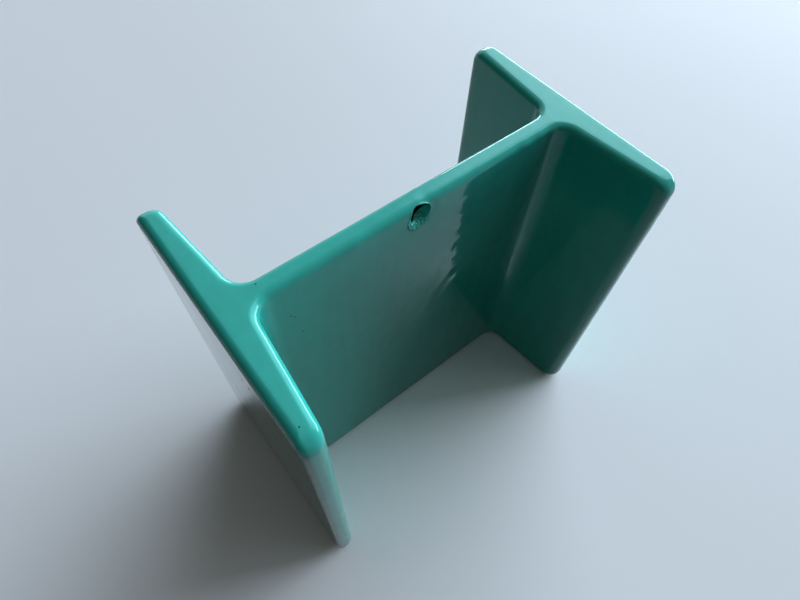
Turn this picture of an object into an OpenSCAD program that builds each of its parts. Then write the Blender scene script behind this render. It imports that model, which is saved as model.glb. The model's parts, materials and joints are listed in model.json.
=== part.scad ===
/* [Section] */
// Depth of the section, over both flanges
depth = 102.4; // [70:0.1:140]
// Width of the flanges
flange_w = 65.5; // [45:0.1:90]
// Thickness of the web
web_t = 5.3; // [4:0.1:9]
// Thickness of a flange at its tip
tip_t = 5.3; // [4:0.1:8]
// Slope of the flanges' inner faces, in degrees
flange_slope = 5.7; // [0:0.1:9]
// Radius of the fillets where the web meets the flanges
root_r = 4.6; // [2:0.1:10]
// Radius of the inner edge of a flange tip, the toe
toe_r = 2.6; // [1:0.1:3.5]
// Radius of the outer edge of a flange tip
tip_r = 1.9; // [0.8:0.1:3]

/* [Cut length] */
// Length of the cut piece, which is its height as it stands
cut_l = 103.2; // [60:0.1:200]
// Radius of the ground edges around each sawn end
end_r = 2; // [0.8:0.1:3]
// Radius of the ground corners where a tip meets a sawn end, seen from the side
corner_r = 4.2; // [3:0.1:8]

/* [Hanging hole] */
// Diameter of the hole through the web
hole_d = 5.4; // [3:0.1:8]
// Steel left between the hole and the upper sawn end
hole_wall = 0.9; // [0.8:0.1:30]
// Distance of the hole from the middle of the web, towards the right flange
hole_shift = -0.8; // [-20:0.1:20]
// Depth of the eased lip at each mouth of the hole
lip = 0.5; // [0.2:0.1:1]

/* [Hidden] */

// Chords in each root fillet, in each edge of a tip and in each end's rounding
root_steps = 8;
tip_steps = 4;
end_steps = 7;
// Smallest radius that an edge of a tip keeps on the flat of a sawn end
least_r = 0.4;
// Facets of the round hole
hole_fn = 64;
// Reach of a cutter past the face that it cuts
past = 1;

half_d = depth / 2;
half_w = flange_w / 2;
half_t = web_t / 2;

// Outward normal of a flange's inner face, and how far out along it that face lies
inner_n = [-cos(flange_slope), sin(flange_slope)];
inner_reach = inner_n * [half_d - tip_t, half_w];

// The rounding of a sawn end leaves a flat strip along the web and along each tip
end_round = min(end_r, half_t - least_r, tip_t / 2 - least_r);
corner_round = max(corner_r, end_round);

// Points of an arc, both ends included
function arc(centre, r, from, to, steps) =
    [for (i = [0 : steps])
        let (a = from + (to - from) * i / steps)
        centre + r * [cos(a), sin(a)]];

// X of the line that lies a given distance inside a flange's inner face, at a given y
function inner_x(y, inside) = (inner_n[1] * y - inner_reach + inside) / -inner_n[0];

// Radius left on an edge of a tip, at most half the tip, where the section is drawn in by inset
function edge_r(r, inset) = max(min(r, tip_t / 2) - inset, least_r);

// One quarter of the section, from the outer face round the tip and the root to the web,
// drawn in by inset all round and by tip_inset at the tip
function quarter(inset, tip_inset) =
    let (
        outer_r = edge_r(tip_r, inset),
        inner_r = edge_r(toe_r, inset),
        outer_y = half_w - tip_inset - outer_r,
        inner_y = half_w - tip_inset - inner_r,
        root_y = half_t + root_r
    )
    concat(
        arc([half_d - inset - outer_r, outer_y], outer_r, 0, 90, tip_steps),
        arc([inner_x(inner_y, inset + inner_r), inner_y], inner_r, 90, 180 - flange_slope, tip_steps),
        arc([inner_x(root_y, -root_r), root_y], root_r + inset, -flange_slope, -90, root_steps)
    );

function flipped(points, sx, sy) = [for (p = points) [p[0] * sx, p[1] * sy]];
function backwards(points) = [for (i = [len(points) - 1 : -1 : 0]) points[i]];

// The outline of the section at a height above the nearer sawn end
function outline(rise) =
    let (
        inset = round_inset(end_round, rise),
        q = quarter(inset, round_inset(corner_round, rise))
    )
    concat(q, backwards(flipped(q, -1, 1)), flipped(q, -1, -1), backwards(flipped(q, 1, -1)));

// How far a quarter round of radius r lies inside its wall, at a height above its foot
function round_inset(r, rise) = rise < r ? r - sqrt(r * r - (r - rise) * (r - rise)) : 0;

// Heights of the rings in an end's rounding, close together near the flat
rises = [for (i = [0 : end_steps]) corner_round * (1 - cos(90 * i / end_steps))];

// A solid skinned over the rings of both ends
module rounded_length() {
    rings = concat(
        [for (rise = rises) [for (p = outline(rise)) [p[0], p[1], rise]]],
        [for (rise = backwards(rises)) [for (p = outline(rise)) [p[0], p[1], cut_l - rise]]]
    );
    n = len(rings[0]);
    last = len(rings) - 1;
    sides = [for (k = [0 : last - 1], i = [0 : n - 1])
        let (j = (i + 1) % n)
        [k * n + i, (k + 1) * n + i, (k + 1) * n + j, k * n + j]];
    // Each sawn end is a row of strips across the section, from one flange to the other
    strips = [for (k = [0 : n / 2 - 2]) [k, k + 1, n - 2 - k, n - 1 - k]];
    upper_strips = [for (s = strips) [for (i = backwards(s)) last * n + i]];
    polyhedron([for (r = rings) each r], concat(strips, upper_strips, sides));
}

// The drilled hole, with its mouths eased
module hanging_hole() {
    translate([hole_shift, 0, cut_l - hole_wall - hole_d / 2]) rotate([90, 0, 0]) {
        cylinder(d = hole_d, h = web_t + 2 * past, center = true, $fn = hole_fn);
        for (side = [0, 180])
            rotate([side, 0, 0]) translate([0, 0, half_t - lip])
                cylinder(d1 = hole_d, d2 = hole_d + 2 * (lip + past), h = lip + past, $fn = hole_fn);
    }
}

module i_beam() {
    color([0.2, 0.62, 0.58])
    difference() {
        rounded_length();
        hanging_hole();
    }
}

i_beam();
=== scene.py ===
import json
import math

import bmesh
import bpy
from mathutils import Matrix, Vector, noise


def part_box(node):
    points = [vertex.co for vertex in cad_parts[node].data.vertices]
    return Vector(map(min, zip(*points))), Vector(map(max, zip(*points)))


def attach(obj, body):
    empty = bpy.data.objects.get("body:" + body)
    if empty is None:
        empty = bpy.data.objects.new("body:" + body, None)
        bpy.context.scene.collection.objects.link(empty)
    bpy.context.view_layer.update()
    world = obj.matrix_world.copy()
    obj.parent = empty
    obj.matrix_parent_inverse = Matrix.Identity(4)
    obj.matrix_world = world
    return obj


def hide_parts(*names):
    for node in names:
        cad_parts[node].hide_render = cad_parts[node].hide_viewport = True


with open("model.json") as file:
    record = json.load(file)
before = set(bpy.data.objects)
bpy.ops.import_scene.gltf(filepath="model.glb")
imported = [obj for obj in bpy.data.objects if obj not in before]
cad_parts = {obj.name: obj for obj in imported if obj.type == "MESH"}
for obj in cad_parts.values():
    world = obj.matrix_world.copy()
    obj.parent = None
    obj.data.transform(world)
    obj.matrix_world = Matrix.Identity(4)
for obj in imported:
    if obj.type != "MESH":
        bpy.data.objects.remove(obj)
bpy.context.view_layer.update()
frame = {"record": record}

# The flanges of the rolled length: one piece of hot-rolled steel joist with tapered flanges, sawn
# square at both ends. Every edge is ground round, more so at the corners of the flange tips, so
# that a coat holds on it.
half_depth, half_width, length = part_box("i_beam")[1]
half_web = 0.00265
tip_thickness = 0.0053
flange_slope = math.radians(5.7)
root_radius = 0.0046
toe_radius = 0.0029
tip_radius = 0.0017
left_end_radius = 0.0022
right_end_radius = 0.0012
inner_end_radius = 0.0020
web_end_radius = 0.0019
corner_radius = 0.0042
least_radius = 0.0003

quarter_turn = math.pi / 2
tip_steps = 8
tip_flat_steps = 2
face_steps = 20
root_steps = 12
web_steps = 2
cap_steps = 4
end_steps = 18
grid_step = 0.0009


def drawn_in(radius, rise):
    """How far a quarter round of the end lies inside its wall, at a height above the end"""
    if rise >= radius:
        return 0.0
    return radius - math.sqrt(radius ** 2 - (radius - rise) ** 2)


def inner_x(y, inside):
    """Where a line a given distance inside a flange's inner face crosses a given y"""
    taper = math.tan(flange_slope) * (half_width - y)
    return half_depth - tip_thickness - taper + inside / math.cos(flange_slope)


def on_arc(centre, radius, angle):
    return Vector((centre[0] + radius * math.cos(angle), centre[1] + radius * math.sin(angle)))


root_y = half_web + root_radius
root_centre = (inner_x(root_y, -root_radius), root_y)


def flange_half(rise, side):
    """Pairs of outer and inner points across half the right (side 1) or left (side -1) flange"""
    outer_inset = drawn_in(right_end_radius if side > 0 else left_end_radius, rise)
    inset = drawn_in(inner_end_radius, rise)
    web_inset = drawn_in(web_end_radius, rise)
    tip_y = half_width - drawn_in(corner_radius, rise)
    outer_x = half_depth - outer_inset
    outer_r = max(tip_radius - outer_inset, least_radius)
    toe_r = max(toe_radius - inset, least_radius)
    outer_centre = (outer_x - outer_r, tip_y - outer_r)
    toe_centre = (inner_x(tip_y - toe_r, inset + toe_r), tip_y - toe_r)
    pairs = []
    for i in range(tip_steps + 1):
        turned = quarter_turn * i / tip_steps
        toe_turned = (quarter_turn - flange_slope) * i / tip_steps
        outer = on_arc(outer_centre, outer_r, quarter_turn - turned)
        pairs.append((outer, on_arc(toe_centre, toe_r, quarter_turn + toe_turned)))
    outer_start, inner_start = pairs[-1]
    root_start = on_arc(root_centre, root_radius + inset, -flange_slope)
    outer_stop = Vector((outer_x, root_start.y))
    for i in range(1, face_steps + 1):
        share = i / face_steps
        pairs.append((outer_start.lerp(outer_stop, share), inner_start.lerp(root_start, share)))
    for i in range(1, root_steps + 1):
        share = i / root_steps
        radius = root_radius + inset + (web_inset - inset) * share
        inner = on_arc(root_centre, radius, -flange_slope - (quarter_turn - flange_slope) * share)
        pairs.append((Vector((outer_x, inner.y)), inner))
    return pairs


def flange(rise, side):
    """Pairs of outer and inner points across a whole flange, from its back tip to its front tip"""
    back = flange_half(rise, side)
    front = [(Vector((o.x, -o.y)), Vector((i.x, -i.y))) for o, i in reversed(back)]
    between = []
    for step in range(1, web_steps):
        share = step / web_steps
        between.append(tuple(b.lerp(f, share) for b, f in zip(back[-1], front[0])))
    return back + between + front


rises = [corner_radius * (1 - math.cos(quarter_turn * i / end_steps)) for i in range(end_steps + 1)]
plain_length = length - 2 * corner_radius
plain_steps = round(plain_length / grid_step)
heights = rises + [corner_radius + plain_length * i / plain_steps for i in range(1, plain_steps)]
heights += [length - rise for rise in reversed(rises)]
half_count = len(flange_half(0, 1))

steel = bmesh.new()


def skin(rows, closed=False):
    """Faces over rows of points; closed rows run round in a ring, where a row may be twice as fine"""
    grid = [[steel.verts.new(point) for point in row] for row in rows]
    for near, far in zip(grid, grid[1:]):
        count = min(len(near), len(far))
        for i in range(count if closed else count - 1):
            spans = []
            for row in (near, far):
                fine = len(row) // count
                spans.append([row[(fine * i + s) % len(row)] for s in range(fine + 1)])
            steel.faces.new(spans[0] + spans[1][::-1])


for side in (1, -1):
    sections = [flange(min(z, length - z), side) for z in heights]
    outer_rows = []
    back_rows = []
    front_rows = []
    tip_rows = ([], [])
    for z, pairs in zip(heights, sections):
        outer_rows.append([(side * o.x, o.y, z) for o, _ in pairs])
        inner_row = [(side * i.x, i.y, z) for _, i in pairs]
        back_rows.append(inner_row[:half_count])
        front_rows.append(inner_row[-half_count:])
        for tip_row, (outer, inner) in zip(tip_rows, (pairs[0], pairs[-1])):
            across = [outer.lerp(inner, s / tip_flat_steps) for s in range(tip_flat_steps + 1)]
            tip_row.append([(side * p.x, p.y, z) for p in across])
    skin(outer_rows)
    skin(back_rows)
    skin(front_rows)
    for tip_row in tip_rows:
        skin(tip_row)
    for z, pairs in ((heights[0], sections[0]), (heights[-1], sections[-1])):
        cap_rows = []
        for outer, inner in pairs:
            across = [outer.lerp(inner, s / cap_steps) for s in range(cap_steps + 1)]
            cap_rows.append([(side * p.x, p.y, z) for p in across])
        skin(cap_rows)

# The web of the same rolled length joins the two flanges. A hole is drilled through it close under
# the upper end, to hang the piece by while it is coated. Its mouths are eased, and the front one is
# worn at its upper left and scooped wider at its lower left.
hole = next(m for m in frame["record"]["mounts"] if m["name"] == "hanging_hole")
mm = 0.001
hole_x, _, hole_z = hole["pos_m"]
hole_radius = hole["dims"]["r_mm"] * mm
mouth_ease = 0.0004
rim_ease = 0.00015
notch_depth = 0.0006
notch_ray = math.radians(130)
notch_spread = math.radians(28)
scoop_width = 0.0014
scoop_ray = math.radians(232)
scoop_spread = math.radians(65)
mouth_block = 0.0090
outer_rings = 8
mouth_rings = 26
mouth_crowding = 1.6
ease_steps = 14
bore_steps = 30
weld = 1e-6


def nearest(places, place):
    """Index of the place in a list that lies nearest to a given one"""
    return min(range(len(places)), key=lambda i: abs(places[i] - place))


column_count = round(2 * root_centre[0] / grid_step)
columns = [root_centre[0] * (2 * i / column_count - 1) for i in range(column_count + 1)]
block_left = nearest(columns, hole_x - mouth_block)
block_right = nearest(columns, hole_x + mouth_block)
block_low = nearest(heights, hole_z - mouth_block)
block_top = len(heights) - 1
flat_top = length - web_end_radius


def way_up(z):
    """Distance along the web's face and over its rounded upper edge, to a given height"""
    if z <= flat_top:
        return z
    return flat_top + web_end_radius * math.asin(min((z - flat_top) / web_end_radius, 1.0))


def web_face(x, way, side):
    """Point on the web's front (side -1) or back (side 1) face"""
    if way <= flat_top:
        return Vector((x, side * half_web, way))
    turned = (way - flat_top) / web_end_radius
    y = half_web - web_end_radius * (1 - math.cos(turned))
    return Vector((x, side * y, flat_top + web_end_radius * math.sin(turned)))


def web_rows(side, first, last, low, top):
    """Rows of points on one face of the web, between two columns and two heights"""
    rows = []
    for z in heights[low:top + 1]:
        y = side * (half_web - drawn_in(web_end_radius, min(z, length - z)))
        rows.append([(x, y, z) for x in columns[first:last + 1]])
    return rows


for side in (1, -1):
    skin(web_rows(side, 0, block_left, 0, block_top))
    skin(web_rows(side, block_right, column_count, 0, block_top))
    skin(web_rows(side, block_left, block_right, 0, block_low))
strip = half_web - web_end_radius
for z in (heights[0], heights[-1]):
    skin([[(x, strip * (1 - 2 * s / web_steps), z) for s in range(web_steps + 1)] for x in columns])

# The block of the web around the hole is skinned in rings, from its edge to the mouth
ways = [way_up(z) for z in heights]
block_edge = [(x, ways[block_low]) for x in columns[block_left:block_right]]
block_edge += [(columns[block_right], way) for way in ways[block_low:block_top]]
block_edge += [(x, ways[block_top]) for x in reversed(columns[block_left + 1:block_right + 1])]
block_edge += [(columns[block_left], way) for way in reversed(ways[block_low + 1:block_top + 1])]
fine_edge = []
for (x, way), (next_x, next_way) in zip(block_edge, block_edge[1:] + block_edge[:1]):
    fine_edge += [(x, way), ((x + next_x) / 2, (way + next_way) / 2)]


def bell(off, width):
    return math.exp(-(off / width) ** 2)


def scooped(ray):
    """How far the lower left of the front mouth is scooped, from 0 to 1, along a ray from the axis"""
    return bell(math.remainder(ray - scoop_ray, 2 * math.pi), scoop_spread)


def ease(ray, side):
    """Width of the eased lip of the hole's front (side -1) or back (side 1) mouth"""
    return rim_ease + scoop_width * scooped(ray) if side < 0 else mouth_ease


def bore_radius(ray, side):
    """Radius of the bore at its front or back mouth: the front one is worn at its upper left"""
    worn = bell(math.remainder(ray - notch_ray, 2 * math.pi), notch_spread)
    return hole_radius + (notch_depth * worn if side < 0 else 0.0)


def mouth_rows(side):
    """Rings from the edge of the block around the hole, over its eased mouth, into the bore"""
    rows = []
    rays = [math.atan2(way - hole_z, x - hole_x) for x, way in fine_edge]
    mouth = []
    for ray in rays:
        reach = bore_radius(ray, side) + ease(ray, side)
        mouth.append((hole_x + reach * math.cos(ray), way_up(hole_z + reach * math.sin(ray))))
    for ring in range(mouth_rings):
        share = (1 - ring / mouth_rings) ** mouth_crowding
        row = []
        for (x, way), (mouth_x, mouth_way) in zip(fine_edge, mouth):
            ring_x = mouth_x + (x - mouth_x) * share
            row.append(web_face(ring_x, mouth_way + (way - mouth_way) * share, side))
        rows.append(row[::2] if ring < outer_rings else row)
    for step in range(ease_steps + 1):
        turned = quarter_turn * step / ease_steps
        row = []
        for ray, (mouth_x, mouth_way) in zip(rays, mouth):
            reach = bore_radius(ray, side) + ease(ray, side) * (1 - math.sin(turned))
            y = web_face(mouth_x, mouth_way, side).y - side * ease(ray, side) * (1 - math.cos(turned))
            row.append(Vector((hole_x + reach * math.cos(ray), y, hole_z + reach * math.sin(ray))))
        rows.append(row)
    return rows


front_mouth = mouth_rows(-1)
back_mouth = mouth_rows(1)
bore = []
for step in range(1, bore_steps):
    share = step / bore_steps
    bore.append([f.lerp(b, share) for f, b in zip(front_mouth[-1], back_mouth[-1])])
skin(front_mouth + bore + list(reversed(back_mouth)), closed=True)
bmesh.ops.remove_doubles(steel, verts=steel.verts, dist=weld)
bmesh.ops.recalc_face_normals(steel, faces=steel.faces)
steel.normal_update()

# The coat: a thick green-turquoise coat that flowed before it set. It is glossy, rippled like
# orange peel, gathered in lumps along the edges and around the hole, and has a few pinholes. Deep
# in the hole, the shade there is painted on as near black.
wave_size = 0.016
wave_height = 0.00005
bead_size = 0.0006
bead_height = 0.00042
bead_reach = 0.0042
ridge_width = 0.00020
ridge_height = 0.00020
lip_ray = math.radians(78)
lip_spread = math.radians(32)
dip_depth = 0.00016
dip_width = 0.0013
scallop_from = 0.0245
scallop_to = 0.0390
scallop_length = 0.0056
scallop_height = 0.00013
scallop_drop = 0.0012
scallop_width = 0.0009
# Lumps of coat: place, height and size
lumps = [
    ((0.0395, -0.0037, 0.1028), 0.00030, 0.0011),
    ((-0.0181, -0.0022, 0.1019), 0.00012, 0.0016),
    ((0.0005, 0.0019, 0.1024), 0.00007, 0.0010),
]


def around_hole(point):
    """Height of the coat's ridge, beads and dip around the front mouth of the hole"""
    across = point.x - hole_x
    up = point.z - hole_z
    reach = math.hypot(across, up)
    if point.y > 0 or reach > mouth_block:
        return 0.0
    ray = math.atan2(up, across)
    outside = min(max((reach - bore_radius(ray, -1)) / rim_ease, 0.0), 1.0)
    raised = outside * max(scooped(ray), bell(ray - lip_ray, lip_spread))
    height = ridge_height * raised * bell(reach - bore_radius(ray, -1) - ease(ray, -1), ridge_width)
    if reach < bead_reach:
        height += bead_height * scooped(ray) * noise.noise(point / bead_size)
    right = outside * max(math.cos(ray), 0.0)
    return height - dip_depth * right * bell(reach - hole_radius - mouth_ease, dip_width)


def along_edge(point):
    """How far the coat hangs out in scallops over the front of the web's upper edge"""
    if point.y > 0 or not scallop_from < point.x < scallop_to:
        return 0.0
    along = point.x - scallop_from
    height = scallop_height * math.sin(math.pi * along / (scallop_to - scallop_from))
    height *= bell(point.z - length + scallop_drop, scallop_width)
    return height * math.sin(2 * math.pi * along / scallop_length)


for vert in steel.verts:
    height = wave_height * noise.noise(vert.co / wave_size) + around_hole(vert.co)
    for lump_place, lump_height, lump_size in lumps:
        height += lump_height * bell((vert.co - Vector(lump_place)).length, lump_size)
    vert.co += vert.normal * height - Vector((0, along_edge(vert.co), 0))
    vert.co.z = max(vert.co.z, 0.0)

beam_mesh = bpy.data.meshes.new("coated_beam")
steel.to_mesh(beam_mesh)
steel.free()
beam_mesh.shade_smooth()
beam = bpy.data.objects.new("coated_beam", beam_mesh)
bpy.context.scene.collection.objects.link(beam)
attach(beam, "root")
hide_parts("i_beam")

# Painted shade: near black starts deepest at the lower right of the bore, nearer the mouth to both sides
bore_shade_ray = math.radians(-58.6)
bore_shade_deep = 0.0032
bore_shade_lift = 0.00035
bore_shade_edge = 0.00015
bore_shade_end = 0.0040
painted_bore_shade = beam_mesh.attributes.new("painted_bore_shade", "FLOAT", "POINT")
for index, vert in enumerate(beam_mesh.vertices):
    across = vert.co.x - hole_x
    up = vert.co.z - hole_z
    ray = math.atan2(up, across)
    depth = vert.co.y + half_web
    if math.hypot(across, up) < bore_radius(ray, -1) + rim_ease and depth < bore_shade_end:
        near_side = math.cos(ray - bore_shade_ray)
        if near_side > 0:
            into_shade = depth - bore_shade_deep * near_side + bore_shade_lift
            painted_bore_shade.data[index].value = min(max(into_shade / bore_shade_edge, 0.0), 1.0)


def shader_node(tree, kind, feeds, **settings):
    """A shader node with its settings, and inputs that take plain values or other nodes' outputs"""
    made = tree.nodes.new(kind)
    for name, value in settings.items():
        setattr(made, name, value)
    for key, value in feeds.items():
        if isinstance(value, bpy.types.NodeSocket):
            tree.links.new(value, made.inputs[key])
        else:
            made.inputs[key].default_value = value
    return made


def worked_out(tree, operation, *values):
    """Output of a sum, product or comparison of plain values or other nodes' outputs"""
    made = shader_node(tree, "ShaderNodeMath", dict(enumerate(values)), operation=operation)
    return made.outputs["Value"]


def mixed_colour(tree, share, first, second):
    """Output of a colour that goes from the first to the second with a share"""
    feeds = {"Factor": share, "A": first, "B": second}
    return shader_node(tree, "ShaderNodeMix", feeds, data_type="RGBA").outputs["Result"]


def mapped(tree, value, start, stop, low=0.0, high=1.0, smooth=False):
    """Output that goes from low to high while a value goes from start to stop"""
    feeds = {"Value": value, "From Min": start, "From Max": stop, "To Min": low, "To Max": high}
    way = "SMOOTHSTEP" if smooth else "LINEAR"
    return shader_node(tree, "ShaderNodeMapRange", feeds, interpolation_type=way).outputs["Result"]


def noise_cloud(tree, place, scale, detail):
    """Output of a soft noise over the surface"""
    feeds = {"Vector": place, "Scale": scale, "Detail": detail}
    return shader_node(tree, "ShaderNodeTexNoise", feeds).outputs["Fac"]


coat_colour = (0.030, 0.418, 0.344, 1)
deep_colour = (0.027, 0.388, 0.319, 1)
pit_colour = (0.006, 0.090, 0.078, 1)
# Near black, painted deep in the hole as the shade there
bore_shade_colour = (0.003, 0.004, 0.004, 1)
gloss_tint = (0.62, 1.0, 1.0, 1)
gloss_level = 0.42
shade_and_pit_roughness = 0.9
mottle_scale = 260
mottle_detail = 3
streak_stretch = (330, 330, 30)
streak_detail = 2
deep_tone = 0.75
light_tone = 1.25
haze_scale = 90
haze_detail = 3
haze_low = 0.3
haze_high = 0.7
smoothest = 0.035
roughest = 0.065
peel_scale = 420
peel_detail = 1
peel_height = 0.000030
ripple_scale = 230
ripple_height = 0.00008
ripple_from = 0.0975
ripple_full = 0.0930
speck_scale = 150
speck_radius = 0.017
speck_share = 0.12
# Pinholes: place and radius
pinholes = [
    ((-0.0487, -0.0283, 0.1032), 0.00024),
    ((-0.0398, 0.0008, 0.1032), 0.00025),
    ((-0.0359, -0.00265, 0.0917), 0.00034),
    ((-0.0351, -0.00265, 0.0905), 0.00030),
    ((-0.0341, -0.00265, 0.0833), 0.00032),
    ((-0.0353, -0.00265, 0.0785), 0.00030),
    ((-0.0512, -0.0123, 0.0930), 0.00060),
    ((-0.0512, -0.0088, 0.0910), 0.00048),
]

coat = bpy.data.materials.new("green_coat")
coat.use_nodes = True
tree = coat.node_tree
shader = tree.nodes["Principled BSDF"]
shader.inputs["Specular Tint"].default_value = gloss_tint
where = tree.nodes.new("ShaderNodeTexCoord").outputs["Object"]

# Colour: mottled, with faint runs down the faces
mottle = noise_cloud(tree, where, mottle_scale, mottle_detail)
stretched = shader_node(tree, "ShaderNodeVectorMath", {0: where, 1: streak_stretch}, operation="MULTIPLY")
streaks = noise_cloud(tree, stretched.outputs["Vector"], 1, streak_detail)
tone = mapped(tree, worked_out(tree, "ADD", mottle, streaks), deep_tone, light_tone)
green = mixed_colour(tree, tone, deep_colour, coat_colour)

# Pinholes and scattered specks, as one mask
specks = shader_node(tree, "ShaderNodeTexVoronoi", {"Vector": where, "Scale": speck_scale})
kept = worked_out(tree, "LESS_THAN", specks.outputs["Color"], speck_share)
speckled = worked_out(tree, "LESS_THAN", specks.outputs["Distance"], speck_radius)
pitted = worked_out(tree, "MULTIPLY", kept, speckled)
for pin_place, pin_radius in pinholes:
    away = shader_node(tree, "ShaderNodeVectorMath", {0: where, 1: pin_place}, operation="DISTANCE")
    pin = mapped(tree, away.outputs["Value"], pin_radius, pin_radius / 2, smooth=True)
    pitted = worked_out(tree, "MAXIMUM", pitted, pin)
# Near black painted in the bore stands in for the shade deep in the hole
bore_shade_mask = shader_node(tree, "ShaderNodeAttribute", {}, attribute_name="painted_bore_shade").outputs["Fac"]
pricked = mixed_colour(tree, pitted, green, pit_colour)
painted = mixed_colour(tree, bore_shade_mask, pricked, bore_shade_colour)
tree.links.new(painted, shader.inputs["Base Color"])

# Gloss: a little uneven, and none where shade is painted in the hole or in a pinhole
haze = noise_cloud(tree, where, haze_scale, haze_detail)
gloss = mapped(tree, haze, haze_low, haze_high, smoothest, roughest)
dulled = worked_out(tree, "MAXIMUM", bore_shade_mask, pitted)
finish = shader_node(tree, "ShaderNodeMix", {"Factor": dulled, "A": gloss, "B": shade_and_pit_roughness})
tree.links.new(finish.outputs["Result"], shader.inputs["Roughness"])
mirror = mapped(tree, dulled, 0, 1, gloss_level, 0)
tree.links.new(mirror, shader.inputs["Specular IOR Level"])

# Relief: orange peel all over, and a coarser ripple below the upper edge
peel = noise_cloud(tree, where, peel_scale, peel_detail)
peeled = worked_out(tree, "MULTIPLY", peel, peel_height)
level = shader_node(tree, "ShaderNodeSeparateXYZ", {"Vector": where}).outputs["Z"]
rippled = mapped(tree, level, ripple_from, ripple_full, 0, ripple_height, smooth=True)
ripple = noise_cloud(tree, where, ripple_scale, 0)
relief = worked_out(tree, "MULTIPLY_ADD", ripple, rippled, peeled)
bump = shader_node(tree, "ShaderNodeBump", {"Height": relief, "Strength": 1, "Distance": 1})
tree.links.new(bump.outputs["Normal"], shader.inputs["Normal"])
beam_mesh.materials.append(coat)

# The floor: a plain pale table top, smooth and hardly glossy, wide enough to fill the view.
# It throws little light back on the piece.
floor_half = 2.0
floor_colour = (0.715, 0.735, 0.75, 1)
floor_bounce = (0.055, 0.057, 0.060, 1)
floor_roughness = 0.5
floor_gloss = 0.12
floor_mesh = bpy.data.meshes.new("floor")
floor_corners = [(x * floor_half, y * floor_half, 0) for x, y in ((-1, -1), (1, -1), (1, 1), (-1, 1))]
floor_mesh.from_pydata(floor_corners, [], [(0, 1, 2, 3)])
floor = bpy.data.objects.new("floor", floor_mesh)
bpy.context.scene.collection.objects.link(floor)
floor_paint = bpy.data.materials.new("pale_floor")
floor_paint.use_nodes = True
floor_tree = floor_paint.node_tree
floor_shader = floor_tree.nodes["Principled BSDF"]
floor_shader.inputs["Roughness"].default_value = floor_roughness
floor_shader.inputs["Specular IOR Level"].default_value = floor_gloss
floor_paths = floor_tree.nodes.new("ShaderNodeLightPath").outputs
floor_shown = mixed_colour(floor_tree, floor_paths["Is Diffuse Ray"], floor_colour, floor_bounce)
floor_tree.links.new(floor_shown, floor_shader.inputs["Base Color"])
floor_mesh.materials.append(floor_paint)

# The window: one large soft light that stands to the right of the piece, brightest along its foot
# and fading towards its top and, above the foot, towards its back.
window_away = 3.5
window_centre = 2.0
window_width = 7.7
window_height = 7.2
window_foot = 0.02
window_power = 3850
window_colour = (0.755, 0.87, 1.0)
# Brightness up the window: share of its height, and share of its full strength
window_rise = [
    (0.025, 0.0),
    (0.040, 1.0),
    (0.070, 1.0),
    (0.12, 0.34),
    (0.20, 0.19),
    (0.40, 0.145),
    (0.55, 0.145),
    (0.70, 0.125),
    (0.85, 0.075),
    (1.00, 0.00),
]
back_fade = 0.50
fade_from = 0.12
fade_full = 0.25
window_data = bpy.data.lights.new("window", "AREA")
window_data.shape = "RECTANGLE"
window_data.size = window_width
window_data.size_y = window_height
window_data.energy = window_power
window_data.color = window_colour
window_data.use_nodes = True
window_tree = window_data.node_tree
pane = window_tree.nodes.new("ShaderNodeNewGeometry").outputs["Parametric"]
on_pane = shader_node(window_tree, "ShaderNodeSeparateXYZ", {"Vector": pane}).outputs
pane_rise = shader_node(window_tree, "ShaderNodeValToRGB", {"Fac": on_pane["Y"]})
pane_rise.color_ramp.interpolation = "LINEAR"
stops = pane_rise.color_ramp.elements
while len(stops) < len(window_rise):
    stops.new(1.0)
for stop, (share, brightness) in zip(stops, window_rise):
    stop.position = share
    stop.color = (brightness, brightness, brightness, 1)
dim_back = mapped(window_tree, on_pane["X"], 1, back_fade, smooth=True)
faded = mapped(window_tree, on_pane["Y"], fade_from, fade_full, 1, dim_back)
pane_strength = worked_out(window_tree, "MULTIPLY", pane_rise.outputs["Color"], faded)
window_tree.links.new(pane_strength, window_tree.nodes["Emission"].inputs["Strength"])
window = bpy.data.objects.new("window", window_data)
window.location = (window_away, window_centre, window_foot + window_height / 2)
window.rotation_euler = (quarter_turn, 0, quarter_turn)
bpy.context.scene.collection.objects.link(window)

# The soft box: a square lamp high in front on the right. It fills the faces, and is kept out of
# the gloss.
box_size = 2.0
box_power = 14
box_away = 3.5
box_turn = math.radians(-25)
box_rise = math.radians(58)
box_data = bpy.data.lights.new("soft_box", "AREA")
box_data.size = box_size
box_data.energy = box_power
box_data.color = window_colour
soft_box = bpy.data.objects.new("soft_box", box_data)
box_level = Vector((math.cos(box_turn), math.sin(box_turn), 0))
box_way = box_level * math.cos(box_rise) + Vector((0, 0, math.sin(box_rise)))
soft_box.location = box_way * box_away
soft_box.rotation_euler = box_way.to_track_quat("Z", "Y").to_euler()
soft_box.visible_glossy = False
bpy.context.scene.collection.objects.link(soft_box)

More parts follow.
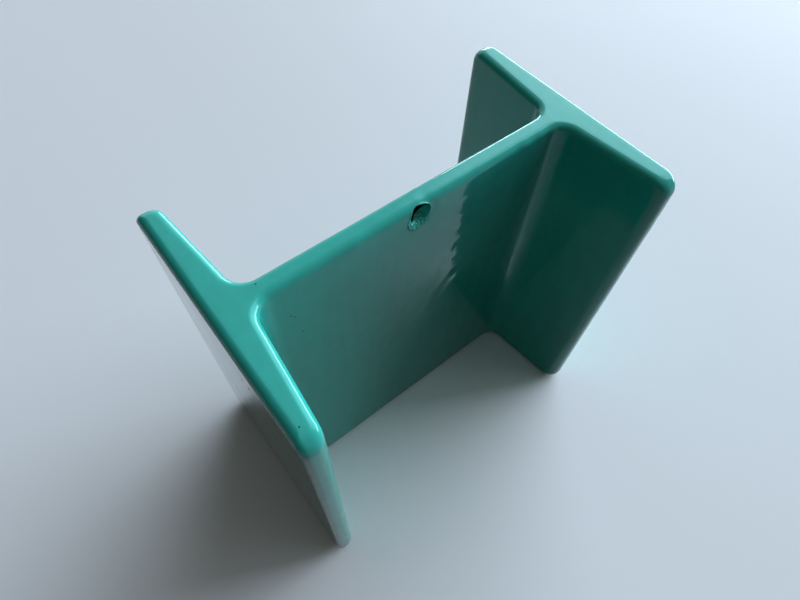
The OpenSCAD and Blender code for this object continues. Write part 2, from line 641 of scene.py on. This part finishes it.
# The room: dim and warm all round, under a pale ceiling that is darker on the side away from the
# window. The camera sees a pale backdrop instead, and the gloss mirrors it on the window's side.
ceiling = (0.37, 0.38, 0.37, 1)
ceiling_from = 0.68
ceiling_to = 0.88
ceiling_dim_from = -0.45
ceiling_dim_to = 0.25
ceiling_dim = 0.35
surround = (0.044, 0.042, 0.036, 1)
backdrop = (0.90, 0.96, 1.0, 1)
backdrop_from = -0.30
backdrop_to = 0.05
front_from = -0.5
front_to = 0.2
front_share = 0.45
room = bpy.data.worlds.new("room")
room.use_nodes = True
room_tree = room.node_tree
outward = room_tree.nodes.new("ShaderNodeTexCoord").outputs["Generated"]
way_out = shader_node(room_tree, "ShaderNodeSeparateXYZ", {"Vector": outward}).outputs
overhead = mapped(room_tree, way_out["Z"], ceiling_from, ceiling_to, smooth=True)
dimmed = mapped(room_tree, way_out["X"], ceiling_dim_from, ceiling_dim_to, ceiling_dim)
ceiling_share = worked_out(room_tree, "MULTIPLY", overhead, dimmed)
around = mixed_colour(room_tree, ceiling_share, surround, ceiling)
lit_side = mapped(room_tree, way_out["X"], backdrop_from, backdrop_to, smooth=True)
dim_front = mapped(room_tree, way_out["Y"], front_from, front_to, front_share)
room_paths = room_tree.nodes.new("ShaderNodeLightPath").outputs
lit = worked_out(room_tree, "MULTIPLY", lit_side, dim_front)
mirrored = worked_out(room_tree, "MULTIPLY", lit, room_paths["Is Glossy Ray"])
backed = worked_out(room_tree, "MAXIMUM", mirrored, room_paths["Is Camera Ray"])
seen_room = mixed_colour(room_tree, backed, around, backdrop)
room_tree.links.new(seen_room, room_tree.nodes["Background"].inputs["Color"])
bpy.context.scene.world = room

# The camera: close above the front left of the piece, looking down on it through a wide lens.
# It is rolled a little, as a camera held by hand is.
eye = Vector((-0.05686, -0.06135, 0.19194))
eye_turn = math.radians(-41.016)
eye_tilt = math.radians(32.339)
eye_roll = math.radians(3.024)
lens = 24.81
nearest_seen = 0.01
camera_data = bpy.data.cameras.new("camera")
camera_data.lens = lens
camera_data.clip_start = nearest_seen
camera = bpy.data.objects.new("camera", camera_data)
camera.matrix_world = (
    Matrix.Translation(eye)
    @ Matrix.Rotation(eye_turn, 4, "Z")
    @ Matrix.Rotation(eye_tilt, 4, "X")
    @ Matrix.Rotation(eye_roll, 4, "Z")
)
bpy.context.scene.collection.objects.link(camera)
bpy.context.scene.camera = camera
bpy.context.scene.view_settings.view_transform = "Standard"
